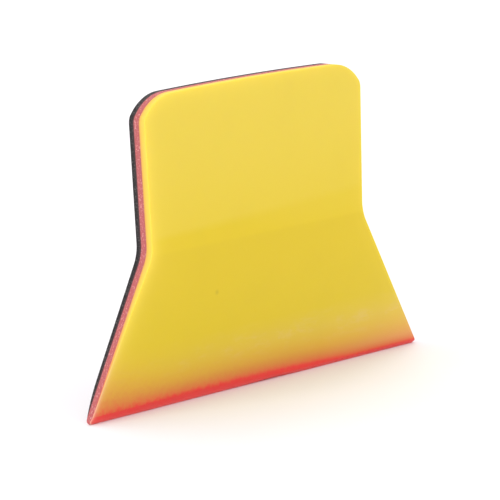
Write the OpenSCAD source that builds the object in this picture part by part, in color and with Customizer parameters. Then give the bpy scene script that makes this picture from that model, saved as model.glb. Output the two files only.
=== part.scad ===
// Three-ply squeegee applicator, standing upright on its blade edge.
// X runs along the blade, Z runs up from the edge, and the front face looks towards -Y.
// The thickness is centred on Y = 0.

/* [Outline] */
// Length of the blade edge
blade_width = 120; // [100:1:140]
// Height from the blade edge to the top of the crown
total_height = 79; // [70:1:90]
// Height of the waist, where the flare meets the handle
neck_height = 39; // [32:1:44]
// Width of the handle at the waist
waist_width = 76.5; // [64:0.5:84]
// Width of the handle at its top, before the corners are rounded
top_width = 78.5; // [66:0.5:86]
// Radius that blends each waist corner
waist_radius = 10; // [4:1:16]
// Radius of the two top corners
corner_radius = 11.8; // [6:0.2:14]
// How far each corner circle reaches past the side of the handle
corner_overrun = 1.4; // [0:0.1:2]
// Rise of the top edge from its ends to its middle
crown = 0.7; // [0.3:0.1:2]
// Radius of the two ends of the blade edge
tip_radius = 0.8; // [0.4:0.1:1.5]

/* [Plies] */
// Thickness of the soft front ply
front_ply_t = 2.1; // [1.6:0.1:2.4]
// Thickness of the firm core ply
core_ply_t = 1.8; // [1.6:0.1:2.4]
// Thickness of the back ply
back_ply_t = 1.7; // [1.5:0.1:2.4]

/* [Taper] */
// Depth of the straight front taper where it reaches the edge
front_taper = 2.15; // [1.9:0.05:2.2]
// Depth of the straight back taper where it reaches the edge
back_taper = 0.75; // [0.4:0.05:0.9]
// Height at which the front starts to round over to the edge
front_nose_height = 2.6; // [2:0.1:3]
// Radius of the front round-over
front_nose_radius = 5; // [4.6:0.2:8]
// Height at which the back starts to round over to the edge
back_nose_height = 10; // [8:0.5:10.5]
// Radius of the back round-over
back_nose_radius = 38; // [36:1:60]

/* [Hidden] */
$fn = 360;

// Segments on the widest, flattest arcs
fine_fn = 1440;

// Distance by which a cutting shape overshoots what it cuts
over = 1;

// Distance by which a blending arc crosses the sides it blends, so that it meets them cleanly
bite = 0.005;

thickness = front_ply_t + core_ply_t + back_ply_t;
front_y = -thickness / 2;
core_y = front_y + front_ply_t;
back_ply_y = core_y + core_ply_t;
back_y = thickness / 2;

waist = [waist_width / 2, neck_height];
side_top = [top_width / 2, total_height];
tip = [blade_width / 2, 0];

crown_radius = (pow(side_top[0], 2) + pow(crown, 2)) / (2 * crown);
crown_centre = [0, total_height - crown_radius];
corner_x = side_top[0] - corner_radius + corner_overrun;
corner_rise = sqrt(pow(crown_radius - corner_radius, 2) - pow(corner_x, 2));
corner_centre = [corner_x, crown_centre[1] + corner_rise];

function unit(v) = v / norm(v);

// An arc that blends two sides a and b of a corner: its centre, and the point where it touches a
function half_angle(a, b) = acos(unit(a) * unit(b)) / 2;
function middle(a, b) = unit(unit(a) + unit(b));
function arc_centre(corner, a, b, radius) = corner + middle(a, b) * radius / sin(half_angle(a, b));
function arc_touch(corner, a, b, radius) = corner + unit(a) * radius / tan(half_angle(a, b));

module both_sides() {
    children();
    mirror([1, 0]) children();
}

// What an arc trims off an outer corner with sides a and b
module corner_offcut(corner, a, b, radius) {
    centre = arc_centre(corner, a, b, radius);
    past = (radius + over) / radius;
    difference() {
        polygon([
            centre,
            centre + (arc_touch(corner, a, b, radius) - centre) * past,
            corner - middle(a, b) * over,
            centre + (arc_touch(corner, b, a, radius) - centre) * past
        ]);
        translate(centre - middle(a, b) * bite) circle(r = radius);
    }
}

// What lies outside a top corner's arc, from the crown round past the handle's side
module top_corner_offcut() {
    up = unit(corner_centre - crown_centre);
    reach = 2 * corner_radius;
    translate(corner_centre) difference() {
        polygon([[0, 0], up * reach, up * reach + [reach, 0], [reach, 0]]);
        translate(up * bite) circle(r = corner_radius);
    }
}

// Outline of the sheet, in X and Z.
// Each waist corner is filled out to the centre of its arc, and the arc's circle is then cut away.
module outline() {
    down = tip - waist;
    up = side_top - waist;
    waist_centre = arc_centre(waist, down, up, waist_radius);
    right_side = [
        tip,
        arc_touch(waist, down, up, waist_radius),
        waist_centre,
        arc_touch(waist, up, down, waist_radius),
        side_top,
        [side_top[0], total_height + over]
    ];
    left_side = [for (i = [len(right_side) - 1:-1:0]) [-right_side[i][0], right_side[i][1]]];
    difference() {
        intersection() {
            polygon(concat(right_side, left_side));
            translate(crown_centre) circle(r = crown_radius, $fn = fine_fn);
        }
        both_sides() translate(waist_centre - middle(down, up) * bite) circle(r = waist_radius);
        both_sides() corner_offcut(tip, -down, [-1, 0], tip_radius);
        both_sides() top_corner_offcut();
    }
}

// What the round-over at the edge takes off a straight taper.
// The flat face stands at X = 0 here, and the plies lie towards -X.
module nose_offcut(taper, nose_height, nose_radius) {
    along = unit([-taper, -neck_height]);
    inward = [along[1], -along[0]];
    touch = [-taper * (1 - nose_height / neck_height), nose_height];
    centre = touch + inward * (nose_radius - bite);
    difference() {
        polygon([centre, touch - inward * over, [over, -over], [centre[0], -over]]);
        translate(centre) circle(r = nose_radius, $fn = fine_fn);
    }
}

// Thickness profile of the whole stack, in Y and Z
module profile() {
    roof = total_height + over;
    difference() {
        polygon([
            [front_y + front_taper, 0], [front_y, neck_height], [front_y, roof],
            [back_y, roof], [back_y, neck_height], [back_y - back_taper, 0]
        ]);
        translate([front_y, 0]) mirror([1, 0])
            nose_offcut(front_taper, front_nose_height, front_nose_radius);
        translate([back_y, 0])
            nose_offcut(back_taper, back_nose_height, back_nose_radius);
    }
}

// The part of the ground stack that lies between y and y + t
module ply(y, t) {
    intersection() {
        translate([0, y + t, 0]) rotate([90, 0, 0]) linear_extrude(t) outline();
        translate([-tip[0] - over, 0, 0]) rotate([90, 0, 90])
            linear_extrude(blade_width + 2 * over) profile();
    }
}

// Soft translucent ply on the front, ground to a feather edge above the blade edge
module front_ply() {
    color([0.94, 0.82, 0.30]) ply(front_y, front_ply_t);
}

// Firm ply in the middle, which forms the blade edge
module core_ply() {
    color([0.86, 0.22, 0.24]) ply(core_y, core_ply_t);
}

// Ply on the back, ground to a feather edge above the blade edge
module back_ply() {
    color([0.16, 0.17, 0.17]) ply(back_ply_y, back_ply_t);
}

front_ply();
core_ply();
back_ply();
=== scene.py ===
"""Looks of a three-ply squeegee applicator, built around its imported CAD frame.

Lengths in the making of the meshes are in millimetres, and become metres when a mesh is written.
"""
import math

import bmesh
import bpy
import numpy as np
from mathutils import Matrix, Vector, geometry


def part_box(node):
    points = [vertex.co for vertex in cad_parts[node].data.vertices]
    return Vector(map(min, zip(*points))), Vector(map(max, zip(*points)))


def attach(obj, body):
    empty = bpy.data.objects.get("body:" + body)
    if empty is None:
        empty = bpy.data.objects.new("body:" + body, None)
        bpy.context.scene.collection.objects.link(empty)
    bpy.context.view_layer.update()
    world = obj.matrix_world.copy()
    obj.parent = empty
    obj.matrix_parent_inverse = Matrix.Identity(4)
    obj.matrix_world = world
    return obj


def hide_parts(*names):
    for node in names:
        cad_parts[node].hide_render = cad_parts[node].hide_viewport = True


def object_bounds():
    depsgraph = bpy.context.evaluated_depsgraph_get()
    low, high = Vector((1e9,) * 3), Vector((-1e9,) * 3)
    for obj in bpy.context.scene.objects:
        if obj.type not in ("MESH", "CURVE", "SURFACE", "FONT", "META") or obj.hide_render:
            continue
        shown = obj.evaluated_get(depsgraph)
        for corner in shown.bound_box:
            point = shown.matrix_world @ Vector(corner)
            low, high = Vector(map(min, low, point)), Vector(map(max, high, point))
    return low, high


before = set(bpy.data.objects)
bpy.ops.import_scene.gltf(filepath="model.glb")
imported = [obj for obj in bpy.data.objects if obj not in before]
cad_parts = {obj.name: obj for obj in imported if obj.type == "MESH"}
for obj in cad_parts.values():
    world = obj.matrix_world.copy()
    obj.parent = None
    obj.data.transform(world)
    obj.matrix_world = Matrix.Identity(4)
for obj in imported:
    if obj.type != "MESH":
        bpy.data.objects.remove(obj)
cad_low, cad_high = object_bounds()

MM = 0.001

# ---------------------------------------------------------------- outline of the sheet

# The blade's width is taken before its two ends are rounded
BLADE_WIDTH = 120.0
TOTAL_HEIGHT = 79.0
# The waist, and the bend where both faces start to taper, lie at this height
NECK_HEIGHT = 39.0
WAIST_WIDTH = 76.5
TOP_WIDTH = 78.5
WAIST_RADIUS = 10.0
CORNER_RADIUS = 11.8
# The circle of a top corner reaches this far past the straight side
CORNER_OVERRUN = 1.4
# Rise of the top from its corners to its middle
CROWN = 0.7
TIP_RADIUS = 0.8
# Softens the faint kink where the side of the handle runs into the top corner
KINK_RADIUS = 4.0

# ---------------------------------------------------------------- thickness of the sheet

FRONT_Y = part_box("front_ply")[0].y / MM
CORE_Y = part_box("core_ply")[0].y / MM
BACK_PLY_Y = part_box("core_ply")[1].y / MM
BACK_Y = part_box("back_ply")[1].y / MM

# How far in each face would lie at the blade edge if its taper ran on straight
FRONT_TAPER = 2.15
BACK_TAPER = 0.75
# The round-over of the front is ground slightly askew: it starts higher at the left end
FRONT_NOSE_HEIGHT = 1.6
FRONT_NOSE_SKEW = -0.055
FRONT_NOSE_LEAST = 0.8
FRONT_NOSE_MOST = 2.6
# How deep the round-over cuts below the straight taper where it reaches the edge
FRONT_NOSE_DROP = 0.676
BACK_NOSE_HEIGHT = 10.0
BACK_NOSE_RADIUS = 38.0
# Half of the height over which a face bends into its taper
BEND_REACH = 0.5
# Steps of the search for the height at which a ply is ground away
HALVINGS = 30

# ---------------------------------------------------------------- how far up the red shows

# It shows fully up to this height, which is greatest a little left of the middle
RED_HEIGHT = 2.2
RED_HIGHEST_AT = -15.0
RED_FALL = 0.0005
RED_LEAST = 0.9
# It fades from sight above that, as the front ply gets thicker, and more slowly at the left end
FADE_HEIGHT = 3.05
FADE_SLOWER_FROM = -25.0
FADE_SLOWER_BY = 0.0024

# ---------------------------------------------------------------- finish of the cut sides

# Rounding of the ridges where the faces meet the cut sides
FRONT_RIDGE = 0.15
BACK_RIDGE = 0.1
# It takes at most this share of the sheet's thickness
RIDGE_SHARE = 0.35
# The blade edge itself is sharp, and the rounding grows to its full size just above it
SHARP_RIDGE = 0.02
RIDGE_GROWTH = 0.2
# Small groove where two plies meet on a cut side
GROOVE_DEPTH = 0.03
GROOVE_REACH = 0.12
# Plies thinner than this have a smaller groove
GROOVE_ROOM = 0.5
# A loop of points this far inside the ridge keeps its shading off the flat face
SUPPORT_GAP = 0.15
# Faces that meet at more than this, in degrees, keep a crisp edge
SHARP_ANGLE = 40

# ---------------------------------------------------------------- fineness of the meshes

# Steps along the outline: on its smallest arcs, its kinks, its larger arcs, its crown and its sides
SMALL_ARC_STEP = 0.2
KINK_STEP = 0.3
ARC_STEP = 0.5
CROWN_STEP = 2.0
SIDE_STEP = 1.0
# The sides have closer points up to this height
FINE_SIDE_STEP = 0.35
FINE_SIDE_HEIGHT = 12.0
# The first point of a corner's arc lies this far past the end of the kink, in radians
KINK_CLEARANCE = 0.02
# Points closer than this count as one, in an outline and in the finished mesh
SAME_POINT = 1e-6
SAME_VERTEX = 1e-4
# Edges shorter than this, and faces no wider than this, are left out
LEAST_EDGE = 1e-5
# Tolerance of the triangulation
CORNER_TOLERANCE = 1e-7
# A ply's lower edge is at least this far below the next point of its side
LEAST_STEP = 0.15
# Height above a ply's lower edge over which its sides shrink level
LEVEL_REACH = 3.0
# Points on a ridge's rounding, and places across the cut side between the two ridges
RIM_ANGLES = 5
MIDDLE_SHARES = [0.03, 0.07, 0.2, 0.4, 0.6, 0.8, 0.93, 0.97]
# Points of a face: columns, and rows above its lower edge, round its bend and elsewhere
COLUMN_STEP = 2.0
ROWS_ABOVE_EDGE = [0.3, 0.6, 0.95, 1.35, 1.8, 2.3, 2.9, 3.6, 4.5, 5.6, 7.0]
BEND_ROWS = [-2.0, -1.0, -0.5, -0.25, 0.0, 0.25, 0.5, 1.0, 2.0]
ROW_STEP = 2.5
# The plain rows start this many steps away from the bend, and end above this height
ROW_STEPS_OFF_BEND = 1.8
LOWEST_PLAIN_ROW = 10.0
# They keep this far from the face's border
BORDER_CLEARANCE = 0.25
# Where the blade edge is the nearest part of the outline, within this margin, the distance
# from the outline is taken from the slanting sides instead
EDGE_MARGIN = 0.01
# Stand in for zero where a number is divided by a length or by a ply's thickness
TINY = 1e-12
LEAST_PLY = 1e-9


# ---------------------------------------------------------------- the sheet's shape

def unit(v):
    """v at a length of one."""
    return v / np.linalg.norm(v)


def arc(centre, radius, start, end, step):
    """Points of an arc from angle start to angle end, about step apart."""
    count = max(2, math.ceil(abs(end - start) * radius / step) + 1)
    angles = np.linspace(start, end, count)
    return centre + radius * np.column_stack([np.cos(angles), np.sin(angles)])


def fillet(corner, a, b, radius, step):
    """An arc that blends the corner with sides a and b, from side a to side b."""
    a, b = unit(a), unit(b)
    half = math.acos(np.clip(a @ b, -1, 1)) / 2
    centre = corner + unit(a + b) * radius / math.sin(half)
    first = corner + a * radius / math.tan(half) - centre
    last = corner + b * radius / math.tan(half) - centre
    start = math.atan2(first[1], first[0])
    turn = math.atan2(first[0] * last[1] - first[1] * last[0], first @ last)
    return arc(centre, radius, start, start + turn, step)


def right_side():
    """The right half of the outline, from the flat of the blade edge round to the top."""
    tip = np.array([BLADE_WIDTH / 2, 0.0])
    waist = np.array([WAIST_WIDTH / 2, NECK_HEIGHT])
    shoulder = np.array([TOP_WIDTH / 2, TOTAL_HEIGHT])
    crown_radius = (shoulder[0] ** 2 + CROWN ** 2) / (2 * CROWN)
    crown_centre = np.array([0.0, TOTAL_HEIGHT - crown_radius])
    corner_x = shoulder[0] - CORNER_RADIUS + CORNER_OVERRUN
    corner_rise = math.sqrt((crown_radius - CORNER_RADIUS) ** 2 - corner_x ** 2)
    corner = crown_centre + [corner_x, corner_rise]
    # where the side of the handle meets the corner's circle
    up = unit(shoulder - waist)
    along = (corner - waist) @ up
    apart = np.linalg.norm(corner - waist - along * up)
    meet = waist + up * (along + math.sqrt(CORNER_RADIUS ** 2 - apart ** 2))
    start = math.atan2(*(meet - corner)[::-1])
    end = math.atan2(corner_rise, corner_x)
    around = np.array([-math.sin(start), math.cos(start)])
    kink = fillet(meet, waist - meet, around, KINK_RADIUS, KINK_STEP)
    start += np.linalg.norm(kink[-1] - meet) / CORNER_RADIUS
    return [
        fillet(tip, np.array([-1.0, 0.0]), waist - tip, TIP_RADIUS, SMALL_ARC_STEP),
        fillet(waist, tip - waist, shoulder - waist, WAIST_RADIUS, ARC_STEP),
        kink,
        arc(corner, CORNER_RADIUS, start + KINK_CLEARANCE, end, ARC_STEP),
        arc(crown_centre, crown_radius, end, math.pi / 2, CROWN_STEP),
    ]


def spread(points):
    """Adds points along each straight stretch: close together low down, wider above."""
    made = [points[0]]
    for p, q in zip(points[:-1], points[1:]):
        low = min(p[1], q[1]) < FINE_SIDE_HEIGHT and q[1] > p[1]
        step = FINE_SIDE_STEP if low else SIDE_STEP
        if p[1] < FINE_SIDE_HEIGHT < q[1]:
            middle = p + (q - p) * (FINE_SIDE_HEIGHT - p[1]) / (q[1] - p[1])
            count = max(1, math.ceil(np.linalg.norm(middle - p) / FINE_SIDE_STEP))
            made += [p + (middle - p) * k / count for k in range(1, count + 1)]
            p, step = middle, SIDE_STEP
        count = max(1, math.ceil(np.linalg.norm(q - p) / step))
        made += [p + (q - p) * k / count for k in range(1, count + 1)]
    made = np.array(made)
    apart = np.linalg.norm(np.diff(made, axis=0), axis=1) > SAME_POINT
    return made[np.concatenate([[True], apart])]


def ground(z, taper, nose_height, nose_radius):
    """Depth of one face below its flat: a straight taper, rounded over towards the edge."""
    slope = taper / NECK_HEIGHT
    bend = np.clip(NECK_HEIGHT + BEND_REACH - z, 0, 2 * BEND_REACH)
    straight = slope * bend ** 2 / (4 * BEND_REACH)
    straight = straight + slope * np.clip(NECK_HEIGHT - BEND_REACH - z, 0, None)
    # the round-over touches the taper at the nose height
    lean = math.atan(slope)
    touch_depth = slope * (NECK_HEIGHT - nose_height)
    centre_depth = touch_depth + nose_radius * math.cos(lean)
    centre_z = nose_height + nose_radius * math.sin(lean)
    reach = np.clip(nose_radius ** 2 - (z - centre_z) ** 2, 0, None)
    rounded = centre_depth - np.sqrt(reach)
    return np.where(z < nose_height, rounded, straight)


def front_face(x, z):
    """Depth of the front face. Its round-over is higher at the left."""
    height = FRONT_NOSE_HEIGHT + FRONT_NOSE_SKEW * x
    height = np.clip(height, FRONT_NOSE_LEAST, FRONT_NOSE_MOST)
    radius = height ** 2 / (2 * FRONT_NOSE_DROP)
    return FRONT_Y + ground(z, FRONT_TAPER, height, radius)


def back_face(_, z):
    """Depth of the back face, the same from left to right."""
    return BACK_Y - ground(z, BACK_TAPER, BACK_NOSE_HEIGHT, BACK_NOSE_RADIUS)


def feather(face, x, y):
    """Height at which a face is ground down to y."""
    low, high = np.zeros_like(x), np.full_like(x, NECK_HEIGHT)
    sign = np.sign(face(x, low) - y)
    for _ in range(HALVINGS):
        middle = (low + high) / 2
        above = np.sign(face(x, middle) - y) == sign
        low, high = np.where(above, middle, low), np.where(above, high, middle)
    return (low + high) / 2


def front_feather(x):
    """Height at which the front ply is ground away to nothing."""
    return feather(front_face, x, CORE_Y)


def back_feather(x):
    """Height at which the back ply is ground away to nothing."""
    return feather(back_face, x, BACK_PLY_Y)


def no_feather(x):
    """Lower edge of the core ply, which reaches the blade edge."""
    return np.zeros_like(x)


def red_height(x):
    """Height up to which the red beneath the front ply shows fully."""
    return np.maximum(RED_HEIGHT - RED_FALL * (x - RED_HIGHEST_AT) ** 2, RED_LEAST)


def fade_height(x):
    """Height over which the red fades to about a third of its strength."""
    return FADE_HEIGHT + FADE_SLOWER_BY * np.maximum(FADE_SLOWER_FROM - x, 0) ** 2


# ---------------------------------------------------------------- a ply as a closed mesh

def cut_at_foot(side, foot):
    """The part of a side above the ply's lower edge, which starts on that edge."""
    above = side[:, 1] - foot(side[:, 0])
    first = int(np.argmax(above > 0))
    share = above[first] / (above[first] - above[first - 1])
    start = side[first] + (side[first - 1] - side[first]) * share
    start[1] = foot(start[:1])[0]
    first += int(side[first][1] - start[1] < LEAST_STEP)
    return np.vstack([start, side[first:]])


def outline_above(foot):
    """Closed outline of a ply above its lower edge, anticlockwise, and which points are that edge."""
    side = spread(np.vstack(right_side()))
    right, left = side, side * [-1, 1]
    if foot is not no_feather:
        right, left = cut_at_foot(right, foot), cut_at_foot(left, foot)
    if abs(right[-1][0]) < SAME_POINT:
        right = right[:-1]
    count = round((right[0][0] - left[0][0]) / COLUMN_STEP)
    x = np.linspace(left[0][0], right[0][0], count + 1)[1:-1]
    bottom = np.column_stack([x, foot(x)])
    points = np.vstack([right, left[::-1], bottom])
    is_bottom = np.zeros(len(points), bool)
    is_bottom[len(points) - len(bottom):] = True
    corners = [0, len(points) - len(bottom) - 1]
    return points, is_bottom, corners


def inward(points, is_bottom, corners, cut):
    """Direction in which each outline point moves as the outline shrinks."""
    ahead = np.roll(points, -1, axis=0) - points
    ahead /= np.linalg.norm(ahead, axis=1)[:, None]
    normal = np.column_stack([-ahead[:, 1], ahead[:, 0]])
    before = np.roll(normal, 1, axis=0)
    mean = normal + before
    length = np.linalg.norm(mean, axis=1)
    mitre = mean / length[:, None] * (2 / length)[:, None]
    if cut:
        # near the lower edge the sides move in level, and the lower edge stays
        level = points[:, 1] < points[is_bottom, 1].max() + LEVEL_REACH
        level &= ~is_bottom
        mitre[level, 0] = -np.sign(points[level, 0]) * length[level] / np.abs(mean[level, 0])
        mitre[level, 1] = 0
        for k in corners:
            mitre[k] = [-np.sign(points[k, 0]), 0]
        mitre[is_bottom] = 0
    return mitre


def lattice(foot):
    """Points inside a face: columns across it, and rows that follow its lower edge and its bend."""
    next_row = ROW_STEP * ROW_STEPS_OFF_BEND
    level = [NECK_HEIGHT + r for r in BEND_ROWS]
    level += list(np.arange(NECK_HEIGHT - next_row, LOWEST_PLAIN_ROW, -ROW_STEP))
    level += list(np.arange(NECK_HEIGHT + next_row, TOTAL_HEIGHT, ROW_STEP))
    x = np.arange(-BLADE_WIDTH / 2, BLADE_WIDTH / 2, COLUMN_STEP) + COLUMN_STEP / 2
    made = [np.column_stack([x, foot(x) + r]) for r in ROWS_ABOVE_EDGE]
    made += [np.column_stack([x, np.full_like(x, z)]) for z in level]
    return np.vstack(made)


def distance(points, border):
    """How far each point is from a closed border."""
    p = border
    along = np.roll(border, -1, axis=0) - p
    length = (along ** 2).sum(axis=1)
    t = (((points[:, None] - p) * along).sum(axis=2) / np.maximum(length, TINY)).clip(0, 1)
    return np.linalg.norm(points[:, None] - p - t[..., None] * along, axis=2).min(axis=1)


def inside(points, border, clear):
    """Which points lie inside the border and at least clear away from it."""
    p, q = border, np.roll(border, -1, axis=0)
    crosses = (p[:, 1] > points[:, None, 1]) != (q[:, 1] > points[:, None, 1])
    rise = np.where(np.abs(q[:, 1] - p[:, 1]) < TINY, TINY, q[:, 1] - p[:, 1])
    at = p[:, 0] + (points[:, None, 1] - p[:, 1]) / rise * (q[:, 0] - p[:, 0])
    odd = (crosses & (points[:, None, 0] < at)).sum(axis=1) % 2 == 1
    return odd & (distance(points, border) > clear)


def fill(border, points):
    """Triangles over a border and the points inside it, as (all points, faces, where each is from)."""
    every = [Vector(p) for p in np.vstack([border, points])]
    loop = [(k, (k + 1) % len(border)) for k in range(len(border))]
    made = geometry.delaunay_2d_cdt(every, loop, [], 1, CORNER_TOLERANCE, True)
    coords = np.array([tuple(v) for v in made[0]])
    origin = [ids[0] if ids else -1 for ids in made[3]]
    faces = np.array([tuple(f) for f in made[2]])
    return coords, faces[inside(coords[faces].mean(axis=1), border, LEAST_EDGE)], origin


def rounding_inset(depth, radius):
    """How far a ridge's rounding lies inside the outline, at a depth below the face."""
    return radius - np.sqrt(radius ** 2 - np.clip(radius - depth, 0, radius) ** 2)


def rounding_angle(depth, radius):
    """Angle on a ridge's rounding at a depth below the face. At the face it is a right angle."""
    return np.arcsin(1 - np.clip(depth / radius, 0, 1))


def rounding_depths(first_depth, last_depth, radius):
    """Depths of the points on a ridge's rounding, turned evenly from one depth to another."""
    first, last = rounding_angle(first_depth, radius), rounding_angle(last_depth, radius)
    shares = np.linspace(0, 1, RIM_ANGLES)
    turn = first[:, None] * (1 - shares) + last[:, None] * shares
    return radius[:, None] * (1 - np.sin(turn))


def ring_depths(y0, y1, front, back, front_radius, back_radius):
    """Depth of each ring at each outline point, from the ply's front y0 to its back y1."""
    near_front = front[:, None] + rounding_depths(y0 - front, y1 - front, front_radius)
    near_back = back[:, None] - rounding_depths(back - y0, back - y1, back_radius)
    start = np.clip(near_front[:, -1], y0, y1)[:, None]
    stop = np.maximum(np.clip(near_back[:, 0], y0, y1)[:, None], start)
    middle = start + (stop - start) * np.array(MIDDLE_SHARES)
    return np.hstack([near_front, middle, near_back]).clip(y0[:, None], y1[:, None])


def groove_inset(y, y0, y1, has_front_bond, has_back_bond):
    """How far the small grooves next to a ply's bonds lie inside the outline."""
    nearness = np.zeros_like(y)
    if has_front_bond:
        nearness = np.maximum(nearness, 1 - (y - y0) / GROOVE_REACH)
    if has_back_bond:
        nearness = np.maximum(nearness, 1 - (y1 - y) / GROOVE_REACH)
    room = np.clip((y1 - y0) / GROOVE_ROOM, 0, 1)
    return GROOVE_DEPTH * room * np.clip(nearness, 0, 1) ** 2


def support_loop(points, shrink, ridge_inset, height):
    """A loop of points on a face, just inside its ridge."""
    moved = points + shrink * (ridge_inset + SUPPORT_GAP)[:, None]
    y = height(moved[:, 0], moved[:, 1])
    return np.column_stack([moved[:, 0], y, moved[:, 1]]), np.zeros_like(y)


def rim(points, shrink, y_low, y_high, has_front_bond, has_back_bond):
    """Rings round a ply's cut side, from its front to its back, as (points, share of cut side)."""
    x, z = points[:, 0], points[:, 1]
    front, back = front_face(x, z), back_face(x, z)
    most = np.minimum(RIDGE_SHARE * (back - front), SHARP_RIDGE + RIDGE_GROWTH * z)
    front_radius, back_radius = np.minimum(FRONT_RIDGE, most), np.minimum(BACK_RIDGE, most)
    y0 = y_low(x, z)
    y1 = np.maximum(y_high(x, z), y0)
    made, insets = [], []
    for y in ring_depths(y0, y1, front, back, front_radius, back_radius).T:
        front_inset = rounding_inset(y - front, front_radius)
        inset = np.maximum(front_inset, rounding_inset(back - y, back_radius))
        inset += groove_inset(y, y0, y1, has_front_bond, has_back_bond)
        moved = points + shrink * inset[:, None]
        low = y_low(moved[:, 0], moved[:, 1])
        high = np.maximum(y_high(moved[:, 0], moved[:, 1]), low)
        share = (y - y0) / np.maximum(y1 - y0, LEAST_PLY)
        coords = np.column_stack([moved[:, 0], low + (high - low) * share, moved[:, 1]])
        from_ridge = np.minimum((y - front) / front_radius, (back - y) / back_radius)
        made.append((coords, np.clip(from_ridge, 0, 1)))
        insets.append(inset)
    front_loop = support_loop(points, shrink, insets[0], y_low)
    back_loop = support_loop(points, shrink, insets[-1], y_high)
    return [front_loop, *made, back_loop]


def side_distance(co):
    """Distance of points on the blade from its slanting sides."""
    tip, waist = np.array([BLADE_WIDTH / 2, 0.0]), np.array([WAIST_WIDTH / 2, NECK_HEIGHT])
    across = unit(np.array([waist[1] - tip[1], tip[0] - waist[0]]))
    return np.maximum((tip - np.abs(co[:, [0, 2]])) @ across, 0)


def edge_distance(co):
    """Distance of points from the sheet's outline, where the blade edge itself doesn't count."""
    half = np.vstack(right_side())
    outline = np.vstack([half, half[::-1] * [-1, 1]])
    made = distance(co[:, [0, 2]], outline)
    return np.where(co[:, 2] < made + EDGE_MARGIN, side_distance(co), made)


def skin_sides(mesh, rings):
    """Adds the rings and the faces between them to a mesh. Returns the vertices of each ring."""
    cut_layer = mesh.verts.layers.float.new("cut_side")
    loops = []
    for coords, cut_share in rings:
        loop = [mesh.verts.new(p) for p in coords]
        for vert, share in zip(loop, cut_share):
            vert[cut_layer] = share
        loops.append(loop)
    for one, two in zip(loops[:-1], loops[1:]):
        for k in range(len(one)):
            n = (k + 1) % len(one)
            mesh.faces.new([one[k], one[n], two[n], two[k]])
    return loops


def skin_face(mesh, ring, loop, height, inner, flip):
    """Closes one face of a ply: triangles inside the loop of vertices that lie on the ring."""
    border = ring[:, [0, 2]]
    kept = inner[inside(inner, border, BORDER_CLEARANCE)]
    coords, faces, origin = fill(border, kept)
    y = height(coords[:, 0], coords[:, 1])
    verts = []
    for k, source in enumerate(origin):
        if 0 <= source < len(loop):
            verts.append(loop[source])
        else:
            verts.append(mesh.verts.new((coords[k][0], y[k], coords[k][1])))
    for face in faces:
        corner = [verts[k] for k in face]
        mesh.faces.new(corner[::-1] if flip else corner)


def store(data, name, values):
    """Stores one number on each point of a mesh."""
    attribute = data.attributes.new(name, "FLOAT", "POINT")
    attribute.data.foreach_set("value", values.astype(np.float32))


def ply_mesh(name, foot, y_low, y_high, has_front_bond, has_back_bond):
    """One ply as a closed mesh.

    Its points hold three numbers for the materials. "cut_side" is 1 on the cut side and 0 on the
    faces. "above_red" is the height above the full red, in units of the height over which it fades.
    "from_edge" is the distance from the sheet's edge, in millimetres.
    """
    points, is_bottom, corners = outline_above(foot)
    shrink = inward(points, is_bottom, corners, foot is not no_feather)
    rings = rim(points, shrink, y_low, y_high, has_front_bond, has_back_bond)
    mesh = bmesh.new()
    loops = skin_sides(mesh, rings)
    inner = lattice(foot)
    skin_face(mesh, rings[0][0], loops[0], y_low, inner, False)
    skin_face(mesh, rings[-1][0], loops[-1], y_high, inner, True)
    bmesh.ops.remove_doubles(mesh, verts=mesh.verts, dist=SAME_VERTEX)
    bmesh.ops.dissolve_degenerate(mesh, edges=mesh.edges, dist=LEAST_EDGE)
    bmesh.ops.recalc_face_normals(mesh, faces=mesh.faces)
    data = bpy.data.meshes.new(name)
    mesh.to_mesh(data)
    mesh.free()
    co = np.zeros(len(data.vertices) * 3)
    data.vertices.foreach_get("co", co)
    co = co.reshape(-1, 3)
    above_red = (co[:, 2] - red_height(co[:, 0])) / fade_height(co[:, 0])
    store(data, "above_red", np.maximum(above_red, 0))
    store(data, "from_edge", edge_distance(co))
    data.vertices.foreach_set("co", (co * MM).ravel())
    data.update()
    piece = bpy.data.objects.new(name, data)
    bpy.context.scene.collection.objects.link(piece)
    return piece


def core_front(x, z):
    """Depth of the bond between yellow and red, and of the red's front below the feather."""
    return np.maximum(CORE_Y, front_face(x, z))


def core_back(x, z):
    """Depth of the bond between red and black, and of the red's back below the feather."""
    return np.minimum(BACK_PLY_Y, back_face(x, z))


def front_ply():
    return ply_mesh("front_ply_skin", front_feather, front_face, core_front, False, True)


def core_ply():
    return ply_mesh("core_ply_skin", no_feather, core_front, core_back, True, True)


def back_ply():
    return ply_mesh("back_ply_skin", back_feather, core_back, back_face, True, False)


# ---------------------------------------------------------------- materials

def linear(v):
    """A display value from 0 to 255, as a linear share of full brightness."""
    v = v / 255
    return v / 12.92 if v <= 0.04045 else ((v + 0.055) / 1.055) ** 2.4


def colour(r, g, b):
    """A colour given in display values from 0 to 255, as linear RGBA."""
    return (linear(r), linear(g), linear(b), 1.0)


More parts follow.
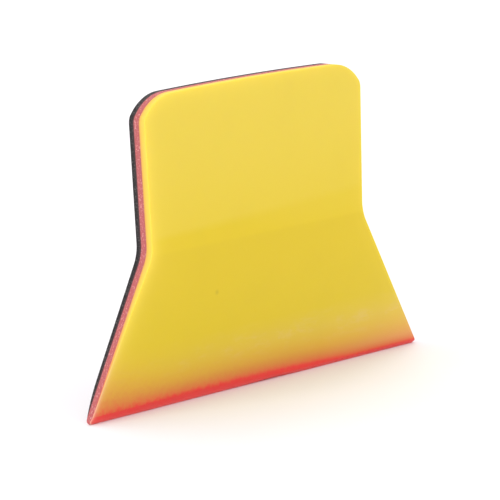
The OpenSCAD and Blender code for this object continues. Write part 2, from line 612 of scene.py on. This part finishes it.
class Nodes:
    """A small helper that adds shader nodes to one material."""

    def __init__(self, name):
        self.material = bpy.data.materials.new(name)
        self.material.use_nodes = True
        self.tree = self.material.node_tree
        self.shader = self.tree.nodes["Principled BSDF"]

    def fix(self, socket, value):
        """Gives one socket of the shader the same value all over."""
        self.shader.inputs[socket].default_value = value

    def drive(self, socket, source):
        """Links a varying value into one socket of the shader."""
        self.link(source, self.shader.inputs[socket])

    def add(self, kind, **settings):
        """A new node with some of its settings."""
        made = self.tree.nodes.new(kind)
        for key, value in settings.items():
            setattr(made, key, value)
        return made

    def link(self, source, target):
        self.tree.links.new(source, target)

    def place(self, stretch=(1.0, 1.0, 1.0), turn=0.0):
        """Object coordinates, turned about the thickness direction and stretched."""
        made = self.add("ShaderNodeMapping")
        made.inputs["Scale"].default_value = stretch
        made.inputs["Rotation"].default_value = (0, turn, 0)
        self.link(self.add("ShaderNodeTexCoord").outputs["Object"], made.inputs["Vector"])
        return made.outputs["Vector"]

    def noise(self, where, scale, detail=3.0, roughness=0.5):
        """Noise with about scale patterns per unit of where."""
        made = self.add("ShaderNodeTexNoise")
        made.inputs["Scale"].default_value = scale
        made.inputs["Detail"].default_value = detail
        made.inputs["Roughness"].default_value = roughness
        self.link(where, made.inputs["Vector"])
        return made.outputs["Fac"]

    def varied(self, where, scale, detail, low, high):
        """Noise that varies from low to high."""
        noise = self.noise(where, scale, detail)
        return self.scaled(noise, NOISE_LOW, NOISE_HIGH, low, high)

    def axes(self, where):
        """The x, y and z of a vector."""
        split = self.add("ShaderNodeSeparateXYZ")
        self.link(where, split.inputs[0])
        return split.outputs

    def attribute(self, name):
        """A number that the mesh stores on its points."""
        return self.add("ShaderNodeAttribute", attribute_name=name).outputs["Fac"]

    def maths(self, operation, *values, clamp=False):
        """The result of one operation on numbers and on values that vary."""
        made = self.add("ShaderNodeMath", operation=operation, use_clamp=clamp)
        for socket, value in zip(made.inputs, values):
            if isinstance(value, (int, float)):
                socket.default_value = value
            else:
                self.link(value, socket)
        return made.outputs[0]

    def scaled(self, value, low, high, to_low, to_high):
        """value from low..high to to_low..to_high, clamped."""
        made = self.add("ShaderNodeMapRange")
        for key, number in (
            ("From Min", low), ("From Max", high), ("To Min", to_low), ("To Max", to_high)
        ):
            made.inputs[key].default_value = number
        self.link(value, made.inputs["Value"])
        return made.outputs["Result"]

    def mixed(self, share, a, b, blend="MIX"):
        """Colour a with a share of colour b laid over it."""
        made = self.add("ShaderNodeMix", data_type="RGBA", blend_type=blend)
        if isinstance(share, (int, float)):
            made.inputs["Factor"].default_value = share
        else:
            self.link(share, made.inputs["Factor"])
        for key, value in (("A", a), ("B", b)):
            socket = [s for s in made.inputs if s.name == key and s.type == "RGBA"][0]
            if isinstance(value, tuple):
                socket.default_value = value
            else:
                self.link(value, socket)
        return [s for s in made.outputs if s.type == "RGBA"][0]

    def bump(self, height, strength, distance, normal=None):
        """Normals of a surface that is raised by the height, up to the distance in metres."""
        made = self.add("ShaderNodeBump")
        made.inputs["Strength"].default_value = strength
        made.inputs["Distance"].default_value = distance
        self.link(height, made.inputs["Height"])
        if normal is not None:
            self.link(normal, made.inputs["Normal"])
        return made.outputs["Normal"]


YELLOW_CAST = colour(236, 211, 72)
# Painted shade of the yellow, low on the handle
YELLOW_SHADED = colour(230, 203, 26)
# Darker ground yellow: partly a duller ground surface, partly painted shade of the taper, which tilts
# away from the light above
YELLOW_GROUND_SHADED = colour(227, 200, 26)
# Painted glow of light at the yellow's edges
YELLOW_EDGE_GLOW = colour(254, 225, 80)
YELLOW_CUT = colour(238, 206, 84)
YELLOW_SCUFF = colour(232, 205, 104)
YELLOW_STAIN = colour(150, 126, 40)
BOND_TINT = colour(236, 138, 92)
# Painted highlight on the ridge at the foot of the blade
RIDGE_HIGHLIGHT = colour(255, 216, 188)
# Painted sheen on the blade edge
EDGE_SHEEN = colour(255, 168, 164)
# Painted warm sheen over the foot at the right
FOOT_SHEEN = colour(252, 186, 128)
RED = colour(238, 60, 55)
RED_CLOUD = colour(230, 64, 60)
RED_CUT = colour(184, 96, 97)
PINK_SPECK = colour(226, 158, 156)
BLACK = colour(24, 25, 26)
BLACK_CLOUD = colour(33, 34, 36)
BLACK_GROUND = colour(38, 38, 40)
BLACK_SCUFF = colour(78, 78, 80)
BLACK_CUT = colour(33, 33, 34)
BLACK_BOND = colour(92, 62, 62)
GREY_SPECK = colour(104, 101, 100)
# Painted shade: above the bend the yellow is deeper low down than at the top of the handle, where it
# looks lit by a sheen
LOW_SHARE = 0.8
LOW_POWER = 1.8
# A painted reflection edge runs across the handle just above its bend, between these points as (x, z),
# with painted shade below it
REFLECTION_EDGE_FROM = (-31.9, 42.1)
REFLECTION_EDGE_TO = (33.8, 45.2)
# It softens over this height on each side of that line
REFLECTION_EDGE_BELOW = 0.6
REFLECTION_EDGE_ABOVE = 1.8
# It is strongest up to the first place from left to right, and weakest from the second on
REFLECTION_EDGE_LEFT = -35.0
REFLECTION_EDGE_RIGHT = 15.0
REFLECTION_EDGE_MOST = 0.6
REFLECTION_EDGE_LEAST = 0.25
# How much the fade of the red varies from place to place, most at the left end
BLOTCH = 0.13
BLOTCH_LEFT = -60.0
BLOTCH_RIGHT = 30.0
BLOTCH_AT_RIGHT = 0.15
# Where the red and yellow blend half and half they are darker, and a little dusty
EVEN_BLEND = 0.25
BLEND_LOSS = 0.08
BLEND_DUST = colour(205, 140, 120)
BLEND_DUST_SHARE = 0.13
# A painted warm sheen lies over the foot at the right. It dies away upwards over this reach ...
FOOT_SHEEN_REACH = 7.0
# ... and grows from nothing between these heights, and between these places from left to right
FOOT_SHEEN_LOW = 1.2
FOOT_SHEEN_FULL = 3.2
FOOT_SHEEN_LEFT = 22.0
FOOT_SHEEN_RIGHT = 58.0
FOOT_SHEEN_SHARE = 0.5
# The yellow varies in brightness by this share from place to place
CLOUDING = 0.015
# Depth from the bond over which red tints the yellow ply's and the black ply's cut sides
TINT_DEPTH = 0.5
BLACK_TINT_DEPTH = 0.3
# Painted glow of light through the yellow's edges, which are paler: a narrow band and a faint wide
# one, in millimetres
EDGE_GLOW_NARROW = 1.7
EDGE_GLOW_WIDE = 8.0
EDGE_GLOW_WIDE_SHARE = 0.15
# The painted glow is strongest at the left, where the key light falls
EDGE_GLOW_AT_LEFT = 0.95
EDGE_GLOW_AT_RIGHT = 0.2
# A painted highlight lies on the ridge at the foot of the blade, and much less at the right
RIDGE_HIGHLIGHT_WIDTH = 0.45
RIDGE_HIGHLIGHT_TOP = 22.0
RIDGE_HIGHLIGHT_SHARE = 0.85
RIDGE_HIGHLIGHT_AT_RIGHT = 0.1
# It weakens from this far left of the middle to as far right of it
RIDGE_HIGHLIGHT_FADES = 20.0
# A painted sheen makes the blade edge itself a little paler over this height, in millimetres
EDGE_SHEEN_HEIGHT = 0.55
EDGE_SHEEN_SHARE = 0.35
# Scuffs lie in a band above the blade edge, in millimetres
SCUFF_LOW = 5.0
SCUFF_MIDDLE = 10.5
SCUFF_HIGH = 16.5
# They are drawn as noise that is long from left to right and tilted a little, in radians
SCUFF_STRETCH = (150, 150, 480)
SCUFF_TILT = -0.04
SCUFF_FROM = 0.5
SCUFF_FULL = 0.66
# On the front face they are few at the left, and grow in number between these places
SCUFF_LEFT = -45.0
SCUFF_RIGHT = 5.0
SCUFF_AT_LEFT = 0.2
# Shares of the even and of the patchy part of the scuffs on the front and on the back
FRONT_SCUFFS = (0.25, 0.42)
BACK_SCUFFS = (0.1, 0.5)
# One faint stain on the front face, at (x, y, z)
STAIN_AT = (-15.8, -2.1, 26.2)
STAIN_RADIUS = 0.9
STAIN_CORE = 0.2
STAIN_SHARE = 0.22
# The values between which nearly all of a noise lies, and its steeper middle for clouds
NOISE_LOW = 0.3
NOISE_HIGH = 0.7
CLOUD_LOW = 0.35
CLOUD_HIGH = 0.65
# Specks show where a fine noise is above the first value, and are strongest above the second
SPECK_FROM = 0.54
SPECK_FULL = 0.68
SPECK_SHARE = 0.8
SPECK_PATCH_MOST = 1.2
# Finenesses of the noises, in patterns per metre
BLOTCHES = 900
YELLOW_CLOUDS = 60
YELLOW_SHEEN = 700
YELLOW_GRAIN = 3500
RED_CLOUDS = 120
RED_SPECKS = 2600
RED_SPECK_PATCHES = 500
BLACK_CLOUDS = 45
BLACK_SHEEN = 300
BLACK_SPECKS = 2300
BLACK_SPECK_PATCHES = 400
PLAIN_GRAIN = 3000
# The black face's grinding lines are noise that is long from left to right
LINE_STRETCH = (25, 25, 1500)
# Depths of the grain and of the grinding lines, in metres, and how strongly they show
GRAIN_DEPTH = 0.00005
LINE_DEPTH = 0.00004
YELLOW_GRAIN_STRENGTH = 0.15
PLAIN_GRAIN_STRENGTH = 0.3
LINE_STRENGTH = 0.25
# Least and most roughness of the faces; the red's is that of its faces and of its cut sides
YELLOW_ROUGHNESS = (0.34, 0.46)
RED_ROUGHNESS = (0.4, 0.9)
BLACK_ROUGHNESS = (0.36, 0.46)
# How much rougher the sawn cut sides are than the faces, and the black's ground part than its cast
CUT_ROUGHER_YELLOW = 0.45
CUT_ROUGHER_BLACK = 0.4
GROUND_ROUGHER = 0.08
# Light scatters inside the rubber: radii for its red, green and blue parts, in millimetres
YELLOW_SCATTER = (2.0, 1.7, 0.4)
RED_SCATTER = (1.2, 0.2, 0.2)
YELLOW_SCATTER_SHARE = 0.5
RED_SCATTER_SHARE = 0.25
# The yellow's scattering starts and is full at these heights in the fade of the red
SCATTER_FROM = 1.5
SCATTER_FULL = 6.0
# Strength of the mirror-like reflection of the coloured plies and of the black one
SOFT_GLOSS = 0.35
BLACK_GLOSS = 0.4


def decay(n, distance, reach):
    """1 at no distance, falling off exponentially over the reach."""
    return n.maths("EXPONENT", n.maths("MULTIPLY", distance, -1 / reach))


def below_bend(n, z):
    """1 on the ground part of a face, below its bend, and 0 above."""
    return n.scaled(z, (NECK_HEIGHT - BEND_REACH) * MM, (NECK_HEIGHT + BEND_REACH) * MM, 1, 0)


def painted_ridge_highlight(n, base, x, z):
    """base with a painted highlight on the ridge at the left foot of the blade laid over it."""
    near = decay(n, n.attribute("from_edge"), RIDGE_HIGHLIGHT_WIDTH)
    low = n.scaled(z, 0, RIDGE_HIGHLIGHT_TOP * MM, RIDGE_HIGHLIGHT_SHARE, 0)
    fades = RIDGE_HIGHLIGHT_FADES * MM
    leftward = n.scaled(x, -fades, fades, 1, RIDGE_HIGHLIGHT_AT_RIGHT)
    on_face = n.maths("SUBTRACT", 1, n.attribute("cut_side"))
    share = n.maths("MULTIPLY", n.maths("MULTIPLY", near, low), on_face)
    share = n.maths("MULTIPLY", share, leftward)
    return n.mixed(share, base, RIDGE_HIGHLIGHT)


def painted_reflection_edge(n, x, z):
    """Share of the painted shade that ends at a painted reflection edge above the bend, stronger at
    the left.
    """
    (x0, z0), (x1, z1) = REFLECTION_EDGE_FROM, REFLECTION_EDGE_TO
    slope = (z1 - z0) / (x1 - x0)
    above = n.maths("ADD", z, n.maths("MULTIPLY", x, -slope))
    reflection_line = (z0 - slope * x0) * MM
    below = n.scaled(above, reflection_line - REFLECTION_EDGE_BELOW * MM, reflection_line + REFLECTION_EDGE_ABOVE * MM, 1, 0)
    left, right = REFLECTION_EDGE_LEFT * MM, REFLECTION_EDGE_RIGHT * MM
    return n.maths("MULTIPLY", below, n.scaled(x, left, right, REFLECTION_EDGE_MOST, REFLECTION_EDGE_LEAST))


def shaded_cast_and_ground_yellow(n, x, z):
    """Yellow of the front face: cast above the bend and ground below it, with painted shade low on the
    handle, below a painted reflection edge, and on the taper.
    """
    lower = n.scaled(z, NECK_HEIGHT * MM, TOTAL_HEIGHT * MM, LOW_SHARE, 0)
    lower = n.maths("ADD", n.maths("POWER", lower, LOW_POWER), painted_reflection_edge(n, x, z), clamp=True)
    yellow = n.mixed(lower, YELLOW_CAST, YELLOW_SHADED)
    return n.mixed(below_bend(n, z), yellow, YELLOW_GROUND_SHADED)


def painted_edge_glow(n, base, x):
    """base with a painted glow of light at its edges, most of all at the left."""
    from_edge = n.attribute("from_edge")
    glow = n.maths("MULTIPLY", decay(n, from_edge, EDGE_GLOW_NARROW), 1 - EDGE_GLOW_WIDE_SHARE)
    glow = n.maths("MULTIPLY_ADD", decay(n, from_edge, EDGE_GLOW_WIDE), EDGE_GLOW_WIDE_SHARE, glow)
    half_width = WAIST_WIDTH / 2 * MM
    amount = n.scaled(x, -half_width, half_width, EDGE_GLOW_AT_LEFT, EDGE_GLOW_AT_RIGHT)
    return n.mixed(n.maths("MULTIPLY", glow, amount), base, YELLOW_EDGE_GLOW)


def scuffs(n, z, even, patchy):
    """Share of scuffing in a band above the blade edge: an even part and a patchy part."""
    patches = n.noise(n.place(SCUFF_STRETCH, turn=SCUFF_TILT), 1.0, 5.0, 0.65)
    patches = n.scaled(patches, SCUFF_FROM, SCUFF_FULL, 0, 1)
    rising = n.scaled(z, SCUFF_LOW * MM, SCUFF_MIDDLE * MM, 0, 1)
    falling = n.scaled(z, SCUFF_MIDDLE * MM, SCUFF_HIGH * MM, 1, 0)
    band = n.maths("MULTIPLY", rising, falling)
    return n.maths("MULTIPLY", band, n.maths("MULTIPLY_ADD", patches, patchy, even))


def marked(n, base, x, z):
    """base with scuffs above the blade edge, most of them to the right, and one faint stain."""
    rightward = n.scaled(x, SCUFF_LEFT * MM, SCUFF_RIGHT * MM, SCUFF_AT_LEFT, 1)
    share = n.maths("MULTIPLY", scuffs(n, z, *FRONT_SCUFFS), rightward)
    base = n.mixed(share, base, YELLOW_SCUFF)
    gap = n.add("ShaderNodeVectorMath", operation="DISTANCE")
    n.link(n.place(), gap.inputs[0])
    gap.inputs[1].default_value = [v * MM for v in STAIN_AT]
    core = STAIN_CORE * STAIN_RADIUS * MM
    stain = n.scaled(gap.outputs["Value"], core, STAIN_RADIUS * MM, STAIN_SHARE, 0)
    return n.mixed(stain, base, YELLOW_STAIN)


def tinted(n, base, tint, from_bond, depth):
    """base tinted near a bond, less and less over the depth in millimetres."""
    return n.mixed(decay(n, from_bond, depth * MM), base, tint)


def speckled(n, where, base, speck, fineness, patch_fineness, patch_least):
    """base with fine specks, which are stronger in some patches than in others."""
    specks = n.scaled(n.noise(where, fineness, 2), SPECK_FROM, SPECK_FULL, 0, SPECK_SHARE)
    patch = n.noise(where, patch_fineness, 2)
    patch = n.scaled(patch, CLOUD_LOW, CLOUD_HIGH, patch_least, SPECK_PATCH_MOST)
    return n.mixed(n.maths("MULTIPLY", specks, patch), base, speck)


def red_shown(n, where, x, above_red):
    """Share of red that shows through where the yellow thins away, blotchy at the left."""
    blotch = n.varied(where, BLOTCHES, 3, -BLOTCH, BLOTCH)
    leftward = n.scaled(x, BLOTCH_LEFT * MM, BLOTCH_RIGHT * MM, 1, BLOTCH_AT_RIGHT)
    uneven = n.maths("MULTIPLY_ADD", blotch, leftward, above_red)
    return n.maths("EXPONENT", n.maths("MULTIPLY", n.maths("MAXIMUM", uneven, 0), -1))


def blended(n, where, yellow, shown):
    """Yellow with a share of red, darker and dustier where they blend half and half."""
    base = n.mixed(shown, yellow, RED)
    half = n.maths("MULTIPLY", shown, n.maths("SUBTRACT", 1, shown))
    base = n.mixed(n.scaled(half, 0, EVEN_BLEND, 0, BLEND_DUST_SHARE), base, BLEND_DUST)
    blend = n.scaled(half, 0, EVEN_BLEND, 1, 1 - BLEND_LOSS)
    cloud = n.varied(where, YELLOW_CLOUDS, 3, 1 - CLOUDING, 1 + CLOUDING)
    tone = n.mixed(n.maths("MULTIPLY", blend, cloud), (0, 0, 0, 1), (1, 1, 1, 1))
    return n.mixed(1.0, base, tone, "MULTIPLY")


def with_painted_foot_sheen(n, base, x, z):
    """base with a painted warm sheen over the foot at the right."""
    rightward = n.scaled(x, FOOT_SHEEN_LEFT * MM, FOOT_SHEEN_RIGHT * MM, 0, FOOT_SHEEN_SHARE)
    foot_sheen = n.maths("MULTIPLY", decay(n, z, FOOT_SHEEN_REACH * MM), rightward)
    foot_sheen = n.maths("MULTIPLY", foot_sheen, n.scaled(z, FOOT_SHEEN_LOW * MM, FOOT_SHEEN_FULL * MM, 0, 1))
    return n.mixed(foot_sheen, base, FOOT_SHEEN)


def front_ply_material():
    """Yellow rubber, through whose thin foot the red shows."""
    n = Nodes("front_ply_rubber")
    where = n.place()
    x, y, z = n.axes(where)
    cut = n.attribute("cut_side")
    above_red = n.attribute("above_red")
    # Painted shade and a painted glow at the edges, then scuffs and a stain
    face = marked(n, painted_edge_glow(n, shaded_cast_and_ground_yellow(n, x, z), x), x, z)
    from_bond = n.maths("SUBTRACT", CORE_Y * MM, y)
    side = tinted(n, YELLOW_CUT, BOND_TINT, from_bond, TINT_DEPTH)
    yellow = n.mixed(cut, face, side)
    base = blended(n, where, yellow, red_shown(n, where, x, above_red))
    # A painted warm sheen at the right foot, and a painted highlight on the left ridge
    n.drive("Base Color", painted_ridge_highlight(n, with_painted_foot_sheen(n, base, x, z), x, z))
    rough = n.varied(where, YELLOW_SHEEN, 4, *YELLOW_ROUGHNESS)
    rough = n.maths("MULTIPLY_ADD", cut, CUT_ROUGHER_YELLOW, rough, clamp=True)
    n.drive("Roughness", rough)
    grain = n.noise(where, YELLOW_GRAIN, 3)
    n.drive("Normal", n.bump(grain, YELLOW_GRAIN_STRENGTH, GRAIN_DEPTH))
    scatter = n.scaled(above_red, SCATTER_FROM, SCATTER_FULL, 0, YELLOW_SCATTER_SHARE)
    n.drive("Subsurface Weight", scatter)
    n.fix("Subsurface Radius", YELLOW_SCATTER)
    n.fix("Subsurface Scale", MM)
    n.fix("Specular IOR Level", SOFT_GLOSS)
    return n.material


def core_ply_material():
    """Red rubber, clouded on its faces and speckled on its cut sides."""
    n = Nodes("core_ply_rubber")
    where = n.place()
    x, _, z = n.axes(where)
    cut = n.attribute("cut_side")
    side = speckled(n, where, RED_CUT, PINK_SPECK, RED_SPECKS, RED_SPECK_PATCHES, 0.7)
    cloud = n.scaled(n.noise(where, RED_CLOUDS, 3), CLOUD_LOW, CLOUD_HIGH, 0, 0.5)
    face = n.mixed(cloud, RED, RED_CLOUD)
    # A painted sheen makes the blade edge paler low down
    edge_sheen_share = n.maths("MULTIPLY", decay(n, z, EDGE_SHEEN_HEIGHT * MM), EDGE_SHEEN_SHARE)
    face = n.mixed(edge_sheen_share, face, EDGE_SHEEN)
    base = n.mixed(cut, face, side)
    # A painted highlight on the ridge at the left foot of the blade
    n.drive("Base Color", painted_ridge_highlight(n, base, x, z))
    n.drive("Roughness", n.scaled(cut, 0, 1, *RED_ROUGHNESS))
    grain = n.noise(where, PLAIN_GRAIN, 3)
    n.drive("Normal", n.bump(grain, PLAIN_GRAIN_STRENGTH, GRAIN_DEPTH))
    n.fix("Subsurface Weight", RED_SCATTER_SHARE)
    n.fix("Subsurface Radius", RED_SCATTER)
    n.fix("Subsurface Scale", MM)
    n.fix("Specular IOR Level", SOFT_GLOSS)
    return n.material


def back_ply_material():
    """Black rubber, cast above the bend, and ground and a little duller below it."""
    n = Nodes("back_ply_rubber")
    where = n.place()
    _, y, z = n.axes(where)
    cut = n.attribute("cut_side")
    side = speckled(n, where, BLACK_CUT, GREY_SPECK, BLACK_SPECKS, BLACK_SPECK_PATCHES, 0.5)
    # the saw drags a little red over the black next to the bond
    from_bond = n.maths("SUBTRACT", y, BACK_PLY_Y * MM)
    side = tinted(n, side, BLACK_BOND, from_bond, BLACK_TINT_DEPTH)
    cloud = n.scaled(n.noise(where, BLACK_CLOUDS, 4, 0.6), CLOUD_LOW, CLOUD_HIGH, 0, 1)
    ground = below_bend(n, z)
    lines = n.maths("MULTIPLY", n.varied(n.place(LINE_STRETCH), 1.0, 3.0, 0.2, 0.9), ground)
    face = n.mixed(lines, n.mixed(cloud, BLACK, BLACK_CLOUD), BLACK_GROUND)
    face = n.mixed(scuffs(n, z, *BACK_SCUFFS), face, BLACK_SCUFF)
    n.drive("Base Color", n.mixed(cut, face, side))
    rough = n.varied(where, BLACK_SHEEN, 4, *BLACK_ROUGHNESS)
    rough = n.maths("MULTIPLY_ADD", ground, GROUND_ROUGHER, rough)
    n.drive("Roughness", n.maths("MULTIPLY_ADD", cut, CUT_ROUGHER_BLACK, rough))
    grain = n.bump(n.noise(where, PLAIN_GRAIN, 3), PLAIN_GRAIN_STRENGTH, GRAIN_DEPTH)
    n.drive("Normal", n.bump(lines, LINE_STRENGTH, LINE_DEPTH, grain))
    n.fix("Specular IOR Level", BLACK_GLOSS)
    return n.material


# ---------------------------------------------------------------- floor, light and camera

# The floor lies this far below the blade edge, in metres
FLOOR_GAP = 0.00001
FLOOR_TONE = (0.9, 0.868, 0.888, 1)
FLOOR_ROUGHNESS = 0.9
# From the middle of the floor to its sides, in metres
FLOOR_REACH = 8.0
WORLD_STRENGTH = 0.95
# The softboxes: name, azimuth and elevation in degrees, and power in watts
SOFTBOXES = [("key_left", -95, 35, 20), ("far_back", 135, 50, 19)]
# Their distance and their side, in metres
SOFTBOX_DISTANCE = 2.5
SOFTBOX_SIZE = 1.8
# The camera, as fitted to the photo: angles in degrees, distance and target in metres,
# lens and sensor in millimetres
CAMERA_AZIMUTH = -45.292
CAMERA_ELEVATION = 10.214
CAMERA_ROLL = -2.223
CAMERA_DISTANCE = 0.88826
CAMERA_TARGET = Vector((0.00226, 0.00355, 0.03364))
CAMERA_LENS = 250.12
CAMERA_SENSOR = 36.0
CLIP_START = 0.01
CLIP_END = 100.0


def back_direction(azimuth, elevation):
    """Direction from the object to a viewer: azimuth 0 stands in front, and 90 on the +X side."""
    a, e = math.radians(azimuth), math.radians(elevation)
    return Vector((math.sin(a) * math.cos(e), -math.cos(a) * math.cos(e), math.sin(e)))


def make_floor():
    """A white floor just below the blade edge."""
    far = FLOOR_REACH
    mesh = bmesh.new()
    corners = [(-far, -far), (far, -far), (far, far), (-far, far)]
    z = cad_low.z - FLOOR_GAP
    mesh.faces.new([mesh.verts.new((x, y, z)) for x, y in corners])
    data = bpy.data.meshes.new("floor")
    mesh.to_mesh(data)
    mesh.free()
    floor = bpy.data.objects.new("floor", data)
    bpy.context.scene.collection.objects.link(floor)
    n = Nodes("floor_white")
    n.fix("Base Color", FLOOR_TONE)
    n.fix("Roughness", FLOOR_ROUGHNESS)
    n.fix("Specular IOR Level", 0.0)
    data.materials.append(n.material)


def make_world():
    """Plain white light from all round."""
    world = bpy.data.worlds.new("studio")
    world.use_nodes = True
    background = world.node_tree.nodes["Background"]
    background.inputs["Color"].default_value = (1, 1, 1, 1)
    background.inputs["Strength"].default_value = WORLD_STRENGTH
    bpy.context.scene.world = world


def make_softbox(name, azimuth, elevation, power):
    """A square area light that faces the middle of the object."""
    data = bpy.data.lights.new(name, "AREA")
    data.size = SOFTBOX_SIZE
    data.energy = power
    lamp = bpy.data.objects.new(name, data)
    bpy.context.scene.collection.objects.link(lamp)
    back = back_direction(azimuth, elevation)
    lamp.location = (cad_low + cad_high) / 2 + back * SOFTBOX_DISTANCE
    lamp.rotation_euler = back.to_track_quat("Z", "Y").to_euler()


def make_camera():
    """The camera, at the photo's angle."""
    data = bpy.data.cameras.new("camera")
    data.lens = CAMERA_LENS
    data.sensor_width = CAMERA_SENSOR
    data.clip_start = CLIP_START
    data.clip_end = CLIP_END
    camera = bpy.data.objects.new("camera", data)
    bpy.context.scene.collection.objects.link(camera)
    back = back_direction(CAMERA_AZIMUTH, CAMERA_ELEVATION)
    roll = Matrix.Rotation(math.radians(CAMERA_ROLL), 3, "Z")
    turn = back.to_track_quat("Z", "Y").to_matrix() @ roll
    stand = Matrix.Translation(CAMERA_TARGET + back * CAMERA_DISTANCE)
    camera.matrix_world = stand @ turn.to_4x4()
    bpy.context.scene.camera = camera


# ---------------------------------------------------------------- the assembly

for make, finish, node in (
    (front_ply, front_ply_material, "front_ply"),
    (core_ply, core_ply_material, "core_ply"),
    (back_ply, back_ply_material, "back_ply"),
):
    piece = make()
    for polygon in piece.data.polygons:
        polygon.use_smooth = True
    piece.data.set_sharp_from_angle(angle=math.radians(SHARP_ANGLE))
    piece.data.materials.append(finish())
    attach(piece, "root")
    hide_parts(node)

make_floor()
make_world()
for softbox in SOFTBOXES:
    make_softbox(*softbox)
make_camera()
bpy.context.scene.view_settings.view_transform = "Standard"
